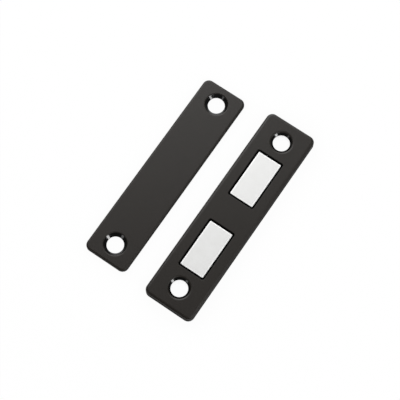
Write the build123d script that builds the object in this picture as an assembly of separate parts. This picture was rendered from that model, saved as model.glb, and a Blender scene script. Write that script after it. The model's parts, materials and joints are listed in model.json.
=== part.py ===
import os
from math import cos, radians, tan

from build123d import *

# Magnetic cabinet catch: a magnet half under a pressed cover, and a flat strike plate.
# Millimetres. X runs along both plates, Y across them, Z up out of the faces that meet.
# The origin is the middle of the magnet half's back. The strike plate lies beside it, on its +Y side.

# Magnets, two equal blocks
magnet_length = 16.4
magnet_width = 8.2
magnet_thickness = 1.8
magnet_inset = 13.3
magnet_corner_radius = 0.3
magnet_chamfer = 0.15

# Backing plate, the steel yoke under both magnets
backing_thickness = 1.0
backing_overhang = 1.0
backing_corner_radius = 0.8

# Cover, drawn from one sheet and open at the back
cover_length = 70.0
cover_width = 17.2
cover_corner_radius = 2.1
cover_sheet = 0.8
cover_inside_bend = 0.2
window_corner_radius = 0.5
punched_edge_radius = 0.35

# Screw holes, pressed down into the cover
cover_hole_inset = 6.9
cover_hole_radius = 2.7
cover_hole_land = 0.4
cover_dimple_height = 0.45

# Strike plate, blanked from flat stock
strike_length = 67.2
strike_width = 15.2
strike_thickness = 1.5
strike_corner_radius = 2.1
strike_edge_radius = 0.7
strike_hole_inset = 6.0
strike_hole_radius = 2.7
strike_hole_land = 0.45
strike_rim_chamfer = 0.2

# Both kinds of screw hole take the same screw head
countersink_angle = 90.0

# Clearances, and the gap between the two halves as they lie
window_clearance = 0.4
magnet_recess = 0.2
backing_clearance = 0.1
plate_gap = 8.0

# Worked out from the sizes above. An inset runs from a plate's end to the hole's centre or the magnet's end.
cover_height = backing_thickness + magnet_thickness + magnet_recess
cover_hole_spacing = cover_length - 2 * cover_hole_inset
strike_hole_spacing = strike_length - 2 * strike_hole_inset
magnet_pitch = cover_length - 2 * magnet_inset - magnet_length
cover_outside_bend = cover_inside_bend + cover_sheet
countersink_slope = tan(radians(countersink_angle / 2))
strike_y = cover_width / 2 + plate_gap + strike_width / 2


def places_along_x(spacing, height):
    """Two points on the X axis, the same distance either side of the middle."""
    return [(-spacing / 2, 0, height), (spacing / 2, 0, height)]


def make_magnet():
    """A sintered block with rounded upright corners and a small chamfer round both faces."""
    with BuildPart() as magnet:
        with BuildSketch():
            RectangleRounded(magnet_length, magnet_width, magnet_corner_radius)
        extrude(amount=magnet_thickness)
        end_faces = magnet.faces().filter_by(Axis.Z)
        chamfer(end_faces.edges(), magnet_chamfer)
    return magnet.part


def make_backing_plate():
    """A strip that fills the width of the cover and reaches past both magnets, clear of the screws."""
    inside_width = cover_width - 2 * cover_sheet
    width = inside_width - 2 * backing_clearance
    length = magnet_pitch + magnet_length + 2 * backing_overhang
    with BuildPart() as backing:
        with BuildSketch():
            RectangleRounded(length, width, backing_corner_radius)
        extrude(amount=backing_thickness)
    return backing.part


def add_pressed_bosses(cover_top):
    """Under each screw hole the sheet is pushed down in a cone, which shows as a boss inside the cover."""
    hole_depth = cover_sheet + cover_dimple_height
    cone_depth = hole_depth - cover_hole_land
    rim_radius = cover_hole_radius + cone_depth * countersink_slope
    # the boss is the countersink's cone, one sheet thickness further out
    flank_radius = rim_radius + cover_sheet / cos(radians(countersink_angle / 2))
    boss_top_radius = flank_radius - cover_sheet * countersink_slope
    boss_foot_radius = flank_radius - hole_depth * countersink_slope
    with Locations(*places_along_x(cover_hole_spacing, cover_top - cover_sheet)):
        Cone(
            boss_foot_radius,
            boss_top_radius,
            cover_dimple_height,
            align=(Align.CENTER, Align.CENTER, Align.MAX),
        )
    with Locations(*places_along_x(cover_hole_spacing, cover_top)):
        CounterSinkHole(cover_hole_radius, rim_radius, hole_depth, countersink_angle)


def make_catch_cover():
    """A drawn tray: rounded block, bent edge, shelled to the sheet, then pressed and punched."""
    with BuildPart() as cover:
        with BuildSketch():
            RectangleRounded(cover_length, cover_width, cover_corner_radius)
        extrude(amount=cover_height)
        fillet(cover.faces().sort_by(Axis.Z)[-1].edges(), cover_outside_bend)
        open_back = cover.faces().sort_by(Axis.Z)[0]
        offset(amount=-cover_sheet, openings=open_back)
        add_pressed_bosses(cover_height)
        with BuildSketch(Plane.XY.offset(cover_height)):
            with Locations(*places_along_x(magnet_pitch, 0)):
                RectangleRounded(
                    magnet_length + 2 * window_clearance,
                    magnet_width + 2 * window_clearance,
                    window_corner_radius,
                )
        extrude(amount=-cover_sheet, mode=Mode.SUBTRACT)
        top_face = cover.faces().sort_by(Axis.Z)[-1]
        punched_edges = [edge for wire in top_face.inner_wires() for edge in wire.edges()]
        fillet(punched_edges, punched_edge_radius)
    return cover.part


def make_strike_plate():
    """A flat plate with a rolled front edge and two countersunk holes, their rims eased."""
    cone_depth = strike_thickness - strike_hole_land
    rim_radius = strike_hole_radius + cone_depth * countersink_slope
    with BuildPart() as strike:
        with BuildSketch():
            RectangleRounded(strike_length, strike_width, strike_corner_radius)
        extrude(amount=strike_thickness)
        fillet(strike.faces().sort_by(Axis.Z)[-1].edges(), strike_edge_radius)
        with Locations(*places_along_x(strike_hole_spacing, strike_thickness)):
            CounterSinkHole(strike_hole_radius, rim_radius, strike_thickness, countersink_angle)
        top_face = strike.faces().sort_by(Axis.Z)[-1]
        rims = [edge for wire in top_face.inner_wires() for edge in wire.edges()]
        chamfer(rims, strike_rim_chamfer)
    return strike.part


magnet = make_magnet()
magnet_seats = places_along_x(magnet_pitch, backing_thickness)

nodes = {
    "catch_cover": make_catch_cover(),
    "backing_plate": make_backing_plate(),
    "magnet_1": Pos(*magnet_seats[0]) * magnet,
    "magnet_2": Pos(*magnet_seats[1]) * magnet,
    "strike_plate": Pos(0, strike_y, 0) * make_strike_plate(),
}

os.makedirs("parts", exist_ok=True)
for name, solid in nodes.items():
    export_step(solid, f"parts/{name}.step")
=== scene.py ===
import json
import math

import bmesh
import bpy
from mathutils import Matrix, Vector


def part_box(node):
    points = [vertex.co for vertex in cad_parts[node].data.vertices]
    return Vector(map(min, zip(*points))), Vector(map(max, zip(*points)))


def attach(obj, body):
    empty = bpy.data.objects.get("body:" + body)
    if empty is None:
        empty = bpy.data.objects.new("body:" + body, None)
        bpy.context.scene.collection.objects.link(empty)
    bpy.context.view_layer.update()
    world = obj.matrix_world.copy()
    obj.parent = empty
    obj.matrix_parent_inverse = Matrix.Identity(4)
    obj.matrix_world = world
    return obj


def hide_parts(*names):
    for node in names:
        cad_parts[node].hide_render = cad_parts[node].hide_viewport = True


# Magnetic catch: the magnet half in its pressed black cover, and the flat strike plate beside it.
# Everything is modelled in millimetres over the CAD nodes, then brought down to metres.

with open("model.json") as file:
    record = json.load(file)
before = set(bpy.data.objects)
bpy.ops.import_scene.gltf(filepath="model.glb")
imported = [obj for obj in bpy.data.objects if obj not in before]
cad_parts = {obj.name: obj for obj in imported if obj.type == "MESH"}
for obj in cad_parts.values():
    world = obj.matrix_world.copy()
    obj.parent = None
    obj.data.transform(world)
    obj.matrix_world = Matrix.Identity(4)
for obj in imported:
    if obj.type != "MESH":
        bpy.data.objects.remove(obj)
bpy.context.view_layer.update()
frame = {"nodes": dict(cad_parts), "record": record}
millimetre = 0.001
print("frame loaded:", ", ".join(sorted(frame["nodes"])))


def directionFrom(azimuth, elevation):
    # azimuth 0 stands on the -Y side and looks along +Y, elevation is above the floor
    turn = math.radians(azimuth)
    rise = math.radians(elevation)
    return Vector((math.sin(turn) * math.cos(rise), -math.cos(turn) * math.cos(rise), math.sin(rise)))


cameraPlace = {
    "azimuth": -55.7,
    "elevation": 73.1,
    "distance": 0.3858,
    "lens": 112.0,
    "sensor": 36.0,
    "lookAt": (-0.00103, 0.01092, 0.0),
    "clipStart": 0.01,
    "clipEnd": 10.0,
}


def placeCamera(place):
    back = directionFrom(place["azimuth"], place["elevation"])
    bpy.ops.object.camera_add(location=Vector(place["lookAt"]) + back * place["distance"])
    camera = bpy.context.active_object
    camera.name = "studioCamera"
    camera.rotation_mode = "QUATERNION"
    camera.rotation_quaternion = back.to_track_quat("Z", "Y")
    camera.data.lens = place["lens"]
    camera.data.sensor_width = place["sensor"]
    camera.data.clip_start = place["clipStart"]
    camera.data.clip_end = place["clipEnd"]
    bpy.context.scene.camera = camera


placeCamera(cameraPlace)
print("camera placed")


def addNode(tree, kind, **settings):
    node = tree.nodes.new(kind)
    for key, value in settings.items():
        setattr(node, key, value)
    return node


def joinNodes(tree, *pairs):
    for output, socket in pairs:
        tree.links.new(output, socket)


# world: bright low beyond the upper ends, dim overhead, and nearly dark low down on the other sides
studioSky = {
    "brightAzimuth": 124.3,
    "brightElevation": 0.0,
    "bright": 1.3,
    "dim": 0.41,
    "low": 0.05,
    "dimEdge": 0.37,       # cosine at which the dim side ends
    "brightEdge": 0.95,    # cosine at which the bright side begins
    "lowTop": 0.40,        # sine of the height up to which the dim side is darkest
    "dimBottom": 0.56,     # sine of the height above which it has its full strength
}


def makeSky(sky):
    world = bpy.data.worlds.new("studioSky")
    bpy.context.scene.world = world
    world.use_nodes = True
    tree = world.node_tree
    background = tree.nodes["Background"]
    background.inputs["Color"].default_value = (1.0, 1.0, 1.0, 1.0)
    place = addNode(tree, "ShaderNodeTexCoord")
    parts = addNode(tree, "ShaderNodeSeparateXYZ")
    height = addNode(tree, "ShaderNodeMapRange", interpolation_type="SMOOTHSTEP")
    height.inputs["From Min"].default_value = sky["lowTop"]
    height.inputs["From Max"].default_value = sky["dimBottom"]
    height.inputs["To Min"].default_value = sky["low"]
    height.inputs["To Max"].default_value = sky["dim"]
    towards = addNode(tree, "ShaderNodeVectorMath", operation="DOT_PRODUCT")
    towards.inputs[1].default_value = directionFrom(sky["brightAzimuth"], sky["brightElevation"])
    fade = addNode(tree, "ShaderNodeMapRange", interpolation_type="SMOOTHSTEP")
    fade.inputs["From Min"].default_value = sky["dimEdge"]
    fade.inputs["From Max"].default_value = sky["brightEdge"]
    light = addNode(tree, "ShaderNodeMix", data_type="FLOAT")
    light.inputs["B"].default_value = sky["bright"]
    seen = addNode(tree, "ShaderNodeLightPath")
    strength = addNode(tree, "ShaderNodeMix", data_type="FLOAT")
    strength.inputs["B"].default_value = 1.0    # plain white where the camera sees the sky
    joinNodes(
        tree,
        (place.outputs["Generated"], parts.inputs["Vector"]),
        (parts.outputs["Z"], height.inputs["Value"]),
        (place.outputs["Generated"], towards.inputs[0]),
        (towards.outputs["Value"], fade.inputs["Value"]),
        (fade.outputs["Result"], light.inputs["Factor"]),
        (height.outputs["Result"], light.inputs["A"]),
        (seen.outputs["Is Camera Ray"], strength.inputs["Factor"]),
        (light.outputs["Result"], strength.inputs["A"]),
        (strength.outputs["Result"], background.inputs["Strength"]),
    )


# softboxes: a large one leaning over the upper ends, a weaker one to the right, and a low strip each side
softboxes = {
    "mainSoftbox": {
        "azimuth": 138.0,
        "elevation": 43.0,
        "distance": 0.45,
        "wide": 0.385,
        "high": 0.385,
        "power": 1.28,
    },
    "fillSoftbox": {
        "azimuth": -5.0,
        "elevation": 49.0,
        "distance": 0.45,
        "wide": 0.45,
        "high": 0.36,
        "power": 0.60,
    },
    "rightStrip": {
        "azimuth": -8.0,
        "elevation": 14.5,
        "distance": 0.60,
        "wide": 0.18,
        "high": 0.12,
        "power": 0.50,
    },
    "leftStrip": {
        "azimuth": -113.0,
        "elevation": 13.0,
        "distance": 0.60,
        "wide": 0.14,
        "high": 0.13,
        "power": 0.075,
    },
}


def addSoftbox(name, box):
    towards = directionFrom(box["azimuth"], box["elevation"])
    bpy.ops.object.light_add(type="AREA", location=towards * box["distance"])
    lamp = bpy.context.active_object
    lamp.name = name
    lamp.rotation_euler = towards.to_track_quat("Z", "Y").to_euler()
    lamp.data.shape = "RECTANGLE"
    lamp.data.size = box["wide"]
    lamp.data.size_y = box["high"]
    lamp.data.energy = box["power"]


makeSky(studioSky)
for softboxName, softbox in softboxes.items():
    addSoftbox(softboxName, softbox)
print("lights set")

floorSheet = {
    "size": 3.0,
    "colour": (0.95, 0.95, 0.95, 1.0),
    "roughness": 0.9,
    "seenGlow": 0.975,        # share of plain white that the camera sees
    "mirroredGlow": 0.93,     # and that reflections see
    "contactShade": 0.010,    # reach of the dark under and beside the object
    "contactPower": 7.0,
    "contactShadowTone": (0.05, 0.05, 0.05, 1.0),
    "contactSamples": 8,
    "covered": 0.04,          # openness below which the floor lies in the dark, as under the cover
    "uncovered": 0.20,
}


def layFloor(sheet):
    bpy.ops.mesh.primitive_plane_add(size=sheet["size"])
    floor = bpy.context.active_object
    floor.name = "floorSheet"
    paper = bpy.data.materials.new("palePaper")
    paper.use_nodes = True
    tree = paper.node_tree
    shader = tree.nodes["Principled BSDF"]
    shader.inputs["Roughness"].default_value = sheet["roughness"]
    glow = addNode(tree, "ShaderNodeEmission")
    path = addNode(tree, "ShaderNodeLightPath")
    mirrored = addNode(tree, "ShaderNodeMath", operation="MAXIMUM")
    openness = addNode(tree, "ShaderNodeAmbientOcclusion", samples=sheet["contactSamples"])
    openness.inputs["Distance"].default_value = sheet["contactShade"]
    steep = addNode(tree, "ShaderNodeMath", operation="POWER")
    steep.inputs[1].default_value = sheet["contactPower"]
    # painted contact shadow: the floor's colour darkens where the object closes it in
    tone = addNode(tree, "ShaderNodeMix", data_type="RGBA")
    tone.inputs["A"].default_value = sheet["contactShadowTone"]
    tone.inputs["B"].default_value = sheet["colour"]
    shaded = addNode(tree, "ShaderNodeMath", operation="MULTIPLY")
    anyView = addNode(tree, "ShaderNodeMath", operation="MAXIMUM")
    reached = addNode(tree, "ShaderNodeMapRange", interpolation_type="SMOOTHSTEP")
    reached.inputs["From Min"].default_value = sheet["covered"]
    reached.inputs["From Max"].default_value = sheet["uncovered"]
    reached.inputs["To Max"].default_value = sheet["seenGlow"]
    seen = addNode(tree, "ShaderNodeMath", operation="MULTIPLY")
    dimmed = addNode(tree, "ShaderNodeMath", operation="MULTIPLY")
    dimmed.inputs[1].default_value = sheet["mirroredGlow"]
    mix = addNode(tree, "ShaderNodeMixShader")
    joinNodes(
        tree,
        (path.outputs["Is Glossy Ray"], mirrored.inputs[0]),
        (path.outputs["Is Transmission Ray"], mirrored.inputs[1]),
        (mirrored.outputs["Value"], shaded.inputs[0]),
        (openness.outputs["AO"], steep.inputs[0]),
        (steep.outputs["Value"], shaded.inputs[1]),
        (steep.outputs["Value"], tone.inputs["Factor"]),
        (tone.outputs["Result"], shader.inputs["Base Color"]),
        (shaded.outputs["Value"], dimmed.inputs[0]),
        (path.outputs["Is Camera Ray"], seen.inputs[0]),
        (openness.outputs["AO"], reached.inputs["Value"]),
        (reached.outputs["Result"], seen.inputs[1]),
        (seen.outputs["Value"], anyView.inputs[0]),
        (dimmed.outputs["Value"], anyView.inputs[1]),
        (anyView.outputs["Value"], mix.inputs["Fac"]),
        (shader.outputs["BSDF"], mix.inputs[1]),
        (glow.outputs["Emission"], mix.inputs[2]),
        (mix.outputs["Shader"], tree.nodes["Material Output"].inputs["Surface"]),
    )
    floor.data.materials.append(paper)


layFloor(floorSheet)
print("floor laid")


def startGroup(name, inputs, outputs):
    group = bpy.data.node_groups.new(name, "ShaderNodeTree")
    for label, value in inputs.items():
        socket = group.interface.new_socket(name=label, in_out="INPUT", socket_type="NodeSocketFloat")
        socket.default_value = value
    for label, kind in outputs.items():
        group.interface.new_socket(name=label, in_out="OUTPUT", socket_type=kind)
    entry = addNode(group, "NodeGroupInput")
    leave = addNode(group, "NodeGroupOutput")
    return group, entry, leave


def buildSurfaceGrain():
    # fine relief of a coated or plated face, in metres of height
    group, entry, leave = startGroup(
        "surfaceGrain",
        {"Scale": 4000.0, "Detail": 3.0, "Height": 0.000004},
        {"Mask": "NodeSocketFloat", "Normal": "NodeSocketVector"},
    )
    place = addNode(group, "ShaderNodeTexCoord")
    grain = addNode(group, "ShaderNodeTexNoise")
    relief = addNode(group, "ShaderNodeBump")
    joinNodes(
        group,
        (place.outputs["Object"], grain.inputs["Vector"]),
        (entry.outputs["Scale"], grain.inputs["Scale"]),
        (entry.outputs["Detail"], grain.inputs["Detail"]),
        (grain.outputs["Fac"], relief.inputs["Height"]),
        (entry.outputs["Height"], relief.inputs["Distance"]),
        (grain.outputs["Fac"], leave.inputs["Mask"]),
        (relief.outputs["Normal"], leave.inputs["Normal"]),
    )
    return group


wearPattern = {
    "samples": 6,
    "flat": 0.995,         # cosine between the face and its rounded edge where the wear begins
    "bent": 0.85,          # and where it is full
    "patchLow": 0.35,
    "patchHigh": 0.65,
}


def buildEdgeWear(pattern):
    # 1 along outer edges, broken up by a coarse noise
    group, entry, leave = startGroup(
        "edgeWear",
        {"Radius": 0.0002, "Breakup": 900.0},
        {"Mask": "NodeSocketFloat"},
    )
    rounded = addNode(group, "ShaderNodeBevel", samples=pattern["samples"])
    face = addNode(group, "ShaderNodeNewGeometry")
    bend = addNode(group, "ShaderNodeVectorMath", operation="DOT_PRODUCT")
    edge = addNode(group, "ShaderNodeMapRange", interpolation_type="SMOOTHSTEP")
    edge.inputs["From Min"].default_value = pattern["flat"]
    edge.inputs["From Max"].default_value = pattern["bent"]
    place = addNode(group, "ShaderNodeTexCoord")
    noise = addNode(group, "ShaderNodeTexNoise")
    patches = addNode(group, "ShaderNodeMapRange")
    patches.inputs["From Min"].default_value = pattern["patchLow"]
    patches.inputs["From Max"].default_value = pattern["patchHigh"]
    worn = addNode(group, "ShaderNodeMath", operation="MULTIPLY")
    joinNodes(
        group,
        (entry.outputs["Radius"], rounded.inputs["Radius"]),
        (rounded.outputs["Normal"], bend.inputs[0]),
        (face.outputs["Normal"], bend.inputs[1]),
        (bend.outputs["Value"], edge.inputs["Value"]),
        (place.outputs["Object"], noise.inputs["Vector"]),
        (entry.outputs["Breakup"], noise.inputs["Scale"]),
        (noise.outputs["Fac"], patches.inputs["Value"]),
        (edge.outputs["Result"], worn.inputs[0]),
        (patches.outputs["Result"], worn.inputs[1]),
        (worn.outputs["Value"], leave.inputs["Mask"]),
    )
    return group


cloudPattern = {
    "detail": 4.0,
    "breakup": 0.55,
    "thin": 0.3,
    "thick": 0.7,
}


def buildCloudiness(pattern):
    # large soft patches, as handling and plating leave them
    group, entry, leave = startGroup(
        "cloudiness",
        {"Scale": 180.0, "Stretch": 1.0},
        {"Mask": "NodeSocketFloat"},
    )
    place = addNode(group, "ShaderNodeTexCoord")
    stretch = addNode(group, "ShaderNodeCombineXYZ")
    stretch.inputs["Y"].default_value = 1.0
    stretch.inputs["Z"].default_value = 1.0
    drawn = addNode(group, "ShaderNodeVectorMath", operation="MULTIPLY")
    noise = addNode(group, "ShaderNodeTexNoise")
    noise.inputs["Detail"].default_value = pattern["detail"]
    noise.inputs["Roughness"].default_value = pattern["breakup"]
    spread = addNode(group, "ShaderNodeMapRange", interpolation_type="SMOOTHSTEP")
    spread.inputs["From Min"].default_value = pattern["thin"]
    spread.inputs["From Max"].default_value = pattern["thick"]
    joinNodes(
        group,
        (entry.outputs["Stretch"], stretch.inputs["X"]),
        (place.outputs["Object"], drawn.inputs[0]),
        (stretch.outputs["Vector"], drawn.inputs[1]),
        (drawn.outputs["Vector"], noise.inputs["Vector"]),
        (entry.outputs["Scale"], noise.inputs["Scale"]),
        (noise.outputs["Fac"], spread.inputs["Value"]),
        (spread.outputs["Result"], leave.inputs["Mask"]),
    )
    return group


def buildShadeByHeight():
    # 0 at the unshaded height, 1 at the shaded one, whichever of them is the higher: a height mask for
    # painted shade
    group, entry, leave = startGroup(
        "shadeByHeight",
        {"Clean": 0.001, "Dusty": 0.0009},
        {"Mask": "NodeSocketFloat"},
    )
    place = addNode(group, "ShaderNodeTexCoord")
    parts = addNode(group, "ShaderNodeSeparateXYZ")
    height = addNode(group, "ShaderNodeMapRange", interpolation_type="SMOOTHSTEP")
    joinNodes(
        group,
        (place.outputs["Object"], parts.inputs["Vector"]),
        (parts.outputs["Z"], height.inputs["Value"]),
        (entry.outputs["Clean"], height.inputs["From Min"]),
        (entry.outputs["Dusty"], height.inputs["From Max"]),
        (height.outputs["Result"], leave.inputs["Mask"]),
    )
    return group


surfaceGrain = buildSurfaceGrain()
edgeWear = buildEdgeWear(wearPattern)
cloudiness = buildCloudiness(cloudPattern)
shadeByHeight = buildShadeByHeight()
print("shared effects built")


def placeGroup(tree, group, **values):
    node = addNode(tree, "ShaderNodeGroup", node_tree=group)
    for label, value in values.items():
        node.inputs[label].default_value = value
    return node


def mixColours(tree, mask, low, high):
    # low is a colour, or what another node gives
    mix = addNode(tree, "ShaderNodeMix", data_type="RGBA")
    mix.inputs["B"].default_value = (*high, 1.0)
    tree.links.new(mask, mix.inputs["Factor"])
    if isinstance(low, tuple):
        mix.inputs["A"].default_value = (*low, 1.0)
    else:
        tree.links.new(low, mix.inputs["A"])
    return mix.outputs["Result"]


def mixNumbers(tree, mask, low, high):
    # low is a number, or what another node gives
    mix = addNode(tree, "ShaderNodeMix", data_type="FLOAT")
    mix.inputs["B"].default_value = high
    tree.links.new(mask, mix.inputs["Factor"])
    if isinstance(low, float):
        mix.inputs["A"].default_value = low
    else:
        tree.links.new(low, mix.inputs["A"])
    return mix.outputs["Result"]


blackFinish = {
    "deep": (0.0066, 0.0041, 0.0018),
    "light": (0.0078, 0.0050, 0.0025),
    "edge": (0.012, 0.012, 0.011),
    "specular": 0.37,
    "smooth": 0.36,
    "rough": 0.44,
    "edgeRough": 0.34,
    "grainScale": 3800.0,
    "grainHeight": 0.000003,
    "cloudScale": 220.0,
    "wearRadius": 0.00016,
}

# smoother coating in the screw holes; its near-black colour is painted shade in the hollows
countersinkShadeFinish = {
    "deep": (0.0008, 0.0008, 0.0007),
    "light": (0.0014, 0.0013, 0.0012),
    "edge": (0.0040, 0.0038, 0.0034),
    "specular": 1.0,
    "smooth": 0.13,
    "rough": 0.17,
    "edgeRough": 0.16,
    "grainScale": 3000.0,
    "grainHeight": 0.0000015,
    "cloudScale": 500.0,
    "wearRadius": 0.00010,
}

# dull, and darker as painted shade, on the punched window walls along the windows' edges
windowShadeFinish = {
    "deep": (0.0016, 0.0015, 0.0013),
    "light": (0.0024, 0.0022, 0.0020),
    "edge": (0.0050, 0.0048, 0.0044),
    "specular": 0.10,
    "smooth": 0.66,
    "rough": 0.80,
    "edgeRough": 0.60,
    "grainScale": 3800.0,
    "grainHeight": 0.000003,
    "cloudScale": 500.0,
    "wearRadius": 0.00010,
}


def startFinish(name):
    material = bpy.data.materials.new(name)
    material.use_nodes = True
    return material, material.node_tree, material.node_tree.nodes["Principled BSDF"]


def layDetail(tree, shader, finish):
    # clouds and grain all over, wear along the edges, and the colour that clouds and wear make
    clouds = placeGroup(tree, cloudiness, Scale=finish["cloudScale"])
    grain = placeGroup(tree, surfaceGrain, Scale=finish["grainScale"], Height=finish["grainHeight"])
    wear = placeGroup(tree, edgeWear, Radius=finish["wearRadius"])
    tone = mixColours(tree, clouds.outputs["Mask"], finish["deep"], finish["light"])
    worn = mixColours(tree, wear.outputs["Mask"], tone, finish["edge"])
    tree.links.new(grain.outputs["Normal"], shader.inputs["Normal"])
    return {
        "clouds": clouds.outputs["Mask"],
        "grain": grain.outputs["Mask"],
        "wear": wear.outputs["Mask"],
        "colour": worn,
    }


def mixBlackCoating(name, finish):
    coating, tree, shader = startFinish(name)
    shader.inputs["Specular IOR Level"].default_value = finish["specular"]
    detail = layDetail(tree, shader, finish)
    sheen = mixNumbers(tree, detail["grain"], finish["smooth"], finish["rough"])
    rubbed = mixNumbers(tree, detail["wear"], sheen, finish["edgeRough"])
    joinNodes(
        tree,
        (detail["colour"], shader.inputs["Base Color"]),
        (rubbed, shader.inputs["Roughness"]),
    )
    return coating


nickelFinish = {
    "deep": (0.695, 0.695, 0.687),
    "light": (0.720, 0.720, 0.714),
    "edge": (0.97, 0.97, 0.965),
    "smooth": 0.55,
    "rough": 0.59,
    "edgeRough": 0.40,
    "grainScale": 5200.0,
    "grainHeight": 0.0000025,
    "cloudScale": 420.0,
    "wearRadius": 0.00032,
    "gapShadeTone": (0.030, 0.029, 0.027),    # painted shade on the sides, down in the window's gap where little light reaches
    "gapTop": 0.00266,                   # height above which the sides carry no painted shade
    "gapFade": 0.00010,
}

# the same plating made lighter along the edges: a painted highlight
nickelHighlightFinish = dict(nickelFinish, deep=(0.80, 0.80, 0.795), light=(0.83, 0.83, 0.825))


def mixNickelPlating(name, finish):
    plating, tree, shader = startFinish(name)
    shader.inputs["Metallic"].default_value = 1.0
    detail = layDetail(tree, shader, finish)
    # painted shade: the sides darken below the gap's top, where little light gets in
    shadedHeight = finish["gapTop"] - finish["gapFade"]
    gapShade = placeGroup(tree, shadeByHeight, Clean=finish["gapTop"], Dusty=shadedHeight)
    shadedColour = mixColours(tree, gapShade.outputs["Mask"], detail["colour"], finish["gapShadeTone"])
    satin = mixNumbers(tree, detail["clouds"], finish["smooth"], finish["rough"])
    rubbed = mixNumbers(tree, detail["wear"], satin, finish["edgeRough"])
    joinNodes(
        tree,
        (shadedColour, shader.inputs["Base Color"]),
        (rubbed, shader.inputs["Roughness"]),
    )
    return plating


zincFinish = {
    "deep": (0.50, 0.51, 0.52),
    "light": (0.66, 0.67, 0.68),
    "edge": (0.78, 0.78, 0.78),
    "smooth": 0.34,
    "rough": 0.52,
    "grainScale": 2600.0,
    "grainHeight": 0.000004,
    "cloudScale": 300.0,
    "rollStretch": 0.12,    # rolling marks run along the strip
    "wearRadius": 0.00018,
    "gapShadeTone": (0.012, 0.012, 0.011),    # painted shade on the upper face, which shows only down in the gaps
    "gapFoot": 0.00098,                  # height above which it lies
    "gapFade": 0.00003,
}


def mixZincPlating(name, finish):
    plating, tree, shader = startFinish(name)
    shader.inputs["Metallic"].default_value = 1.0
    detail = layDetail(tree, shader, finish)
    # painted shade on the strip's upper face, down in the gaps where little light reaches
    unshadedHeight = finish["gapFoot"] - finish["gapFade"]
    gapShade = placeGroup(tree, shadeByHeight, Clean=unshadedHeight, Dusty=finish["gapFoot"])
    shadedColour = mixColours(tree, gapShade.outputs["Mask"], detail["colour"], finish["gapShadeTone"])
    rolling = placeGroup(tree, cloudiness, Scale=finish["grainScale"], Stretch=finish["rollStretch"])
    brushed = mixNumbers(tree, rolling.outputs["Mask"], finish["smooth"], finish["rough"])
    joinNodes(
        tree,
        (shadedColour, shader.inputs["Base Color"]),
        (brushed, shader.inputs["Roughness"]),
    )
    return plating


blackCoating = mixBlackCoating("blackCoating", blackFinish)
countersinkShadeCoating = mixBlackCoating("countersinkShadeCoating", countersinkShadeFinish)
windowShadeCoating = mixBlackCoating("windowShadeCoating", windowShadeFinish)
nickelPlating = mixNickelPlating("nickelPlating", nickelFinish)
nickelHighlight = mixNickelPlating("nickelHighlight", nickelHighlightFinish)
zincPlating = mixZincPlating("zincPlating", zincFinish)
print("finishes mixed")


# how near counts as on the spot, in millimetres
closeEnough = {
    "point": 0.001,
    "height": 0.002,
    "ring": 0.01,
    "doubled": 0.0005,
    "level": 0.99,    # least upright part of a normal that faces straight up or down
}

turnedSides = 112     # sides of every turned cut
smoothAngle = 40.0    # faces that meet more sharply than this keep a crisp edge


def nodeBox(node):
    low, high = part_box(node)
    return low / millimetre, high / millimetre


def activate(piece):
    bpy.ops.object.select_all(action="DESELECT")
    piece.select_set(True)
    bpy.context.view_layer.objects.active = piece


def addBlock(name, low, high):
    bpy.ops.object.select_all(action="DESELECT")
    bpy.ops.mesh.primitive_cube_add(size=1.0)
    block = bpy.context.active_object
    block.name = name
    block.scale = high - low
    block.location = (low + high) / 2
    bpy.ops.object.transform_apply(location=True, rotation=True, scale=True)
    return block


def pickEdges(piece, wanted):
    # wanted is asked about the two ends of each edge
    bpy.ops.mesh.select_mode(type="EDGE")
    bpy.ops.mesh.select_all(action="DESELECT")
    mesh = bmesh.from_edit_mesh(piece.data)
    for edge in mesh.edges:
        if wanted(edge.verts[0].co, edge.verts[1].co):
            edge.select_set(True)
    bmesh.update_edit_mesh(piece.data)


def pickFaces(piece, wanted):
    # wanted is asked about the middle and the normal of each face
    bpy.ops.mesh.select_mode(type="FACE")
    bpy.ops.mesh.select_all(action="DESELECT")
    mesh = bmesh.from_edit_mesh(piece.data)
    for face in mesh.faces:
        if wanted(face.calc_center_median(), face.normal):
            face.select_set(True)
    bmesh.update_edit_mesh(piece.data)


def roundPicked(radius, steps):
    bpy.ops.mesh.bevel(offset=radius, segments=steps, profile=0.5, affect="EDGES")


def standsUpright(a, b):
    return (a.xy - b.xy).length < closeEnough["point"]


def liesAt(height):
    return lambda a, b: max(abs(a.z - height), abs(b.z - height)) < closeEnough["point"]


def ringAt(centre, radius, height):
    # edges of a circle round a screw hole
    def onRing(point):
        offCircle = abs((point.xy - centre.xy).length - radius)
        return abs(point.z - height) < closeEnough["height"] and offCircle < closeEnough["ring"]

    return lambda a, b: onRing(a) and onRing(b)


def facesUp(middle, normal):
    return normal.z > closeEnough["level"]


def facesDown(middle, normal):
    return normal.z < -closeEnough["level"]


def turnTool(name, centre, section):
    # a closed turned solid: the section is drawn point by point, then spun round the hole's axis
    bpy.ops.object.select_all(action="DESELECT")
    start = centre + Vector((section[0][0], 0, section[0][1]))
    bpy.ops.mesh.primitive_plane_add(size=1.0, location=start)
    tool = bpy.context.active_object
    tool.name = name
    bpy.ops.object.transform_apply(location=True, rotation=True, scale=True)
    bpy.ops.object.mode_set(mode="EDIT")
    bpy.ops.mesh.select_mode(type="VERT")
    bpy.ops.mesh.select_all(action="SELECT")
    bpy.ops.mesh.merge(type="CENTER")
    for here, there in zip(section, section[1:]):
        step = (there[0] - here[0], 0, there[1] - here[1])
        bpy.ops.mesh.extrude_vertices_move(TRANSFORM_OT_translate={"value": step})
    bpy.ops.mesh.select_all(action="SELECT")
    bpy.ops.mesh.spin(steps=turnedSides, angle=math.tau, center=centre, axis=(0, 0, 1))
    bpy.ops.mesh.select_all(action="SELECT")
    bpy.ops.mesh.remove_doubles(threshold=closeEnough["doubled"])
    bpy.ops.mesh.normals_make_consistent(inside=False)
    bpy.ops.object.mode_set(mode="OBJECT")
    return tool


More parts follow.
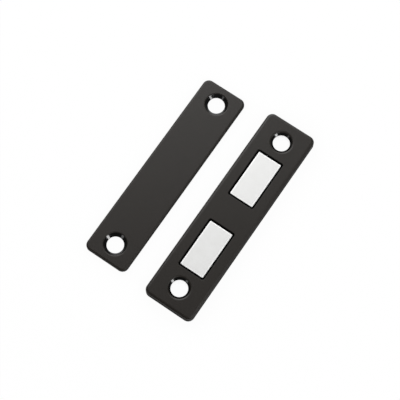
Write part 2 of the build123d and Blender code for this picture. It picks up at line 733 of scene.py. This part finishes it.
def workWith(piece, tool, operation):
    activate(piece)
    work = piece.modifiers.new("toolWork", "BOOLEAN")
    work.operation = operation
    work.solver = "EXACT"
    work.object = tool
    bpy.ops.object.modifier_apply(modifier=work.name)
    bpy.data.objects.remove(tool)
    # a cut can leave a point twice
    bpy.ops.object.mode_set(mode="EDIT")
    bpy.ops.mesh.select_all(action="SELECT")
    bpy.ops.mesh.remove_doubles(threshold=closeEnough["doubled"])
    bpy.ops.object.mode_set(mode="OBJECT")


def readScrewHoles(half, node):
    # each hole's axis, bore and countersink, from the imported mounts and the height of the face
    top = nodeBox(node)[1].z
    holes = []
    for mount in frame["record"]["mounts"]:
        if mount["kind"] == "bore" and mount["name"].startswith(half):
            middle = Vector(mount["pos_m"]) / millimetre
            bore = mount["dims"]["r_mm"]
            foot = middle.z - mount["dims"]["length_mm"] / 2
            land = middle.z + mount["dims"]["length_mm"] / 2
            hole = {
                "centre": Vector((middle.x, middle.y, 0)),
                "bore": bore,
                "foot": foot,
                "land": land,
                "top": top,
                "rim": bore + top - land,    # the cone widens as fast as it rises
            }
            holes.append(hole)
    return holes


def sinkScrewHole(piece, hole):
    # bore and 90 degree cone in one tool
    reach = 1.0    # past both faces
    section = [
        (0, hole["foot"] - reach),
        (hole["bore"], hole["foot"] - reach),
        (hole["bore"], hole["land"]),
        (hole["rim"] + reach, hole["top"] + reach),
        (0, hole["top"] + reach),
    ]
    workWith(piece, turnTool("countersinkTool", hole["centre"], section), "DIFFERENCE")


def coatFaces(piece, coating, wanted):
    activate(piece)
    piece.data.materials.append(coating)
    bpy.ops.object.mode_set(mode="EDIT")
    pickFaces(piece, wanted)
    piece.active_material_index = len(piece.data.materials) - 1
    bpy.ops.object.material_slot_assign()
    bpy.ops.object.mode_set(mode="OBJECT")


def coatHoles(piece, holes, rimEdge):
    # the cut cones and bores take the smoother coating, whose darker colour is painted shade, up to the
    # rounded rim
    rimDepth = rimEdge * math.sqrt(0.5)
    tilt = 0.01    # a bore's wall stands upright, give or take this

    def insideHole(middle, normal):
        return normal.z > -tilt and any(
            (middle.xy - hole["centre"].xy).length < hole["rim"]
            and hole["foot"] < middle.z < hole["top"] - rimDepth
            and (middle.xy - hole["centre"].xy).dot(normal.xy) < -tilt
            for hole in holes
        )

    coatFaces(piece, countersinkShadeCoating, insideHole)


def finishPiece(piece, node):
    # smooth shading with flat faces kept flat, then metres, then its place in the frame
    activate(piece)
    bpy.ops.object.shade_smooth_by_angle(angle=math.radians(smoothAngle))
    flatFaces = piece.modifiers.new("flatFaces", "WEIGHTED_NORMAL")
    flatFaces.keep_sharp = True
    bpy.ops.object.modifier_apply(modifier=flatFaces.name)
    piece.scale = (millimetre, millimetre, millimetre)
    bpy.ops.object.transform_apply(location=True, rotation=True, scale=True)
    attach(piece, "root")
    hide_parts(node)


strikeShape = {
    "cornerRadius": 2.1,
    "cornerSteps": 14,
    "frontEdge": 0.7,      # rolled over by the blanking punch
    "frontSteps": 6,
    "backEdge": 0.10,
    "backSteps": 2,
    "rimEdge": 0.22,
    "rimSteps": 3,
}


def blankStrikePlate(shape):
    low, high = nodeBox("strike_plate")
    plate = addBlock("strikePlate", low, high)
    bpy.ops.object.mode_set(mode="EDIT")
    pickEdges(plate, standsUpright)
    roundPicked(shape["cornerRadius"], shape["cornerSteps"])
    pickEdges(plate, liesAt(high.z))
    roundPicked(shape["frontEdge"], shape["frontSteps"])
    pickEdges(plate, liesAt(low.z))
    roundPicked(shape["backEdge"], shape["backSteps"])
    bpy.ops.object.mode_set(mode="OBJECT")
    holes = readScrewHoles("strike_screw_hole", "strike_plate")
    for hole in holes:
        sinkScrewHole(plate, hole)
    bpy.ops.object.mode_set(mode="EDIT")
    for hole in holes:
        pickEdges(plate, ringAt(hole["centre"], hole["rim"], hole["top"]))
        roundPicked(shape["rimEdge"], shape["rimSteps"])
        pickEdges(plate, ringAt(hole["centre"], hole["bore"], hole["foot"]))
        roundPicked(shape["backEdge"], shape["backSteps"])
    bpy.ops.object.mode_set(mode="OBJECT")
    plate.data.materials.append(blackCoating)
    coatHoles(plate, holes, shape["rimEdge"])
    finishPiece(plate, "strike_plate")


blankStrikePlate(strikeShape)
print("strike plate made")

coverShape = {
    "sheet": 0.8,
    "cornerRadius": 2.1,
    "cornerSteps": 14,
    "bend": 1.0,           # outside radius of the drawn edge
    "bendSteps": 8,
    "windowRadius": 0.5,
    "windowSteps": 6,
    "windowClearance": 0.4,
    "punchBelow": 0.2,     # how far the punch passes the sheet
    "punchAbove": 0.5,
    "punchedEdge": 0.35,
    "punchedSteps": 4,
    "rolledOver": 0.90,    # how upright a normal the windows' painted shade reaches
    "bossFillet": 0.15,
    "bossSteps": 3,
    "rimEdge": 0.35,
    "rimSteps": 4,
}


def raiseBoss(cover, hole, shape):
    # the sheet pushed down under the hole: its flank is the cone, one sheet thickness further out,
    # and the tool runs on into the middle of the sheet
    underside = hole["top"] - shape["sheet"]
    flank = hole["rim"] + shape["sheet"] * math.sqrt(2)
    footRadius = flank - (hole["top"] - underside)
    tipRadius = flank - (hole["top"] - hole["foot"])
    reach = shape["sheet"] / 2
    section = [
        (0, hole["foot"]),
        (tipRadius, hole["foot"]),
        (footRadius + reach, underside + reach),
        (0, underside + reach),
    ]
    workWith(cover, turnTool("bossTool", hole["centre"], section), "UNION")
    return footRadius, underside


def punchWindow(cover, magnetNode, shape):
    low, high = nodeBox(magnetNode)
    room = Vector((shape["windowClearance"], shape["windowClearance"], 0))
    top = nodeBox("catch_cover")[1].z
    low = low - room
    high = high + room
    low.z = top - shape["sheet"] - shape["punchBelow"]
    high.z = top + shape["punchAbove"]
    punch = addBlock("windowPunch", low, high)
    bpy.ops.object.mode_set(mode="EDIT")
    pickEdges(punch, standsUpright)
    roundPicked(shape["windowRadius"], shape["windowSteps"])
    bpy.ops.object.mode_set(mode="OBJECT")
    workWith(cover, punch, "DIFFERENCE")
    return low, high


def overWindow(windows, point, room):
    # over one of the windows, or within this much room of it
    return any(
        low.x - room < point.x < high.x + room and low.y - room < point.y < high.y + room
        for low, high in windows
    )


def pressCover(shape):
    low, high = nodeBox("catch_cover")
    cover = addBlock("pressedCover", low, high)
    bpy.ops.object.mode_set(mode="EDIT")
    pickEdges(cover, standsUpright)
    roundPicked(shape["cornerRadius"], shape["cornerSteps"])
    pickEdges(cover, liesAt(high.z))
    roundPicked(shape["bend"], shape["bendSteps"])
    pickFaces(cover, facesDown)
    bpy.ops.mesh.delete(type="FACE")
    bpy.ops.object.mode_set(mode="OBJECT")
    activate(cover)
    sheet = cover.modifiers.new("sheet", "SOLIDIFY")
    sheet.thickness = shape["sheet"]
    sheet.offset = -1.0
    sheet.use_even_offset = True
    bpy.ops.object.modifier_apply(modifier=sheet.name)
    holes = readScrewHoles("catch_screw_hole", "catch_cover")
    feet = [raiseBoss(cover, hole, shape) for hole in holes]
    for hole in holes:
        sinkScrewHole(cover, hole)
    windows = [punchWindow(cover, magnetNode, shape) for magnetNode in ("magnet_1", "magnet_2")]

    def onWindowEdge(a, b):
        return all(
            abs(point.z - high.z) < closeEnough["height"]
            and overWindow(windows, point, closeEnough["ring"])
            for point in (a, b)
        )

    bpy.ops.object.mode_set(mode="EDIT")
    pickEdges(cover, onWindowEdge)
    roundPicked(shape["punchedEdge"], shape["punchedSteps"])
    for hole, (footRadius, underside) in zip(holes, feet):
        pickEdges(cover, ringAt(hole["centre"], hole["rim"], hole["top"]))
        roundPicked(shape["rimEdge"], shape["rimSteps"])
        pickEdges(cover, ringAt(hole["centre"], footRadius, underside))
        roundPicked(shape["bossFillet"], shape["bossSteps"])
    bpy.ops.object.mode_set(mode="OBJECT")
    cover.data.materials.append(blackCoating)
    coatHoles(cover, holes, shape["rimEdge"])

    def onPunchedWall(middle, normal):
        return (
            abs(normal.z) < shape["rolledOver"]
            and middle.z > high.z - shape["sheet"]
            and overWindow(windows, middle, shape["punchedEdge"])
        )

    # painted shade: the window walls take a darker colour
    coatFaces(cover, windowShadeCoating, onPunchedWall)
    finishPiece(cover, "catch_cover")


pressCover(coverShape)
print("cover pressed")

magnetShape = {
    "cornerRadius": 0.3,
    "cornerSteps": 5,
    "tumbledEdge": 0.15,
    "edgeSteps": 3,
    "highlightWidth": 0.25,    # bright border of the face, inside the rounded edge: painted highlight
    "highlightTilt": 0.2,      # how level a normal the painted highlight reaches down the edge
}


def makeMagnet(name, node, shape):
    low, high = nodeBox(node)
    magnet = addBlock(name, low, high)
    bpy.ops.object.mode_set(mode="EDIT")
    pickEdges(magnet, standsUpright)
    roundPicked(shape["cornerRadius"], shape["cornerSteps"])
    pickEdges(magnet, liesAt(high.z))
    roundPicked(shape["tumbledEdge"], shape["edgeSteps"])
    pickEdges(magnet, liesAt(low.z))
    roundPicked(shape["tumbledEdge"], shape["edgeSteps"])
    border = shape["tumbledEdge"] + shape["highlightWidth"]
    inset = Vector((border, border, 0))
    for corner in (low + inset, high - inset):
        for across in ((1, 0, 0), (0, 1, 0)):
            pickFaces(magnet, facesUp)
            bpy.ops.mesh.bisect(plane_co=corner, plane_no=across)
    bpy.ops.object.mode_set(mode="OBJECT")
    magnet.data.materials.append(nickelPlating)

    def onRim(middle, normal):
        toSide = min(middle.x - low.x, high.x - middle.x, middle.y - low.y, high.y - middle.y)
        return normal.z > shape["highlightTilt"] and toSide < border

    # painted highlight: a lighter plating along the face's border
    coatFaces(magnet, nickelHighlight, onRim)
    finishPiece(magnet, node)


makeMagnet("magnetNear", "magnet_1", magnetShape)
makeMagnet("magnetFar", "magnet_2", magnetShape)
print("magnets made")

backingShape = {
    "cornerRadius": 0.8,
    "cornerSteps": 8,
    "shearedEdge": 0.08,
    "shearedSteps": 2,
}


def shearBackingPlate(shape):
    low, high = nodeBox("backing_plate")
    strip = addBlock("backingStrip", low, high)
    bpy.ops.object.mode_set(mode="EDIT")
    pickEdges(strip, standsUpright)
    roundPicked(shape["cornerRadius"], shape["cornerSteps"])
    for height in (low.z, high.z):
        pickEdges(strip, liesAt(height))
        roundPicked(shape["shearedEdge"], shape["shearedSteps"])
    bpy.ops.object.mode_set(mode="OBJECT")
    strip.data.materials.append(zincPlating)
    finishPiece(strip, "backing_plate")


shearBackingPlate(backingShape)
print("backing plate made")

bpy.context.scene.view_settings.view_transform = "Standard"
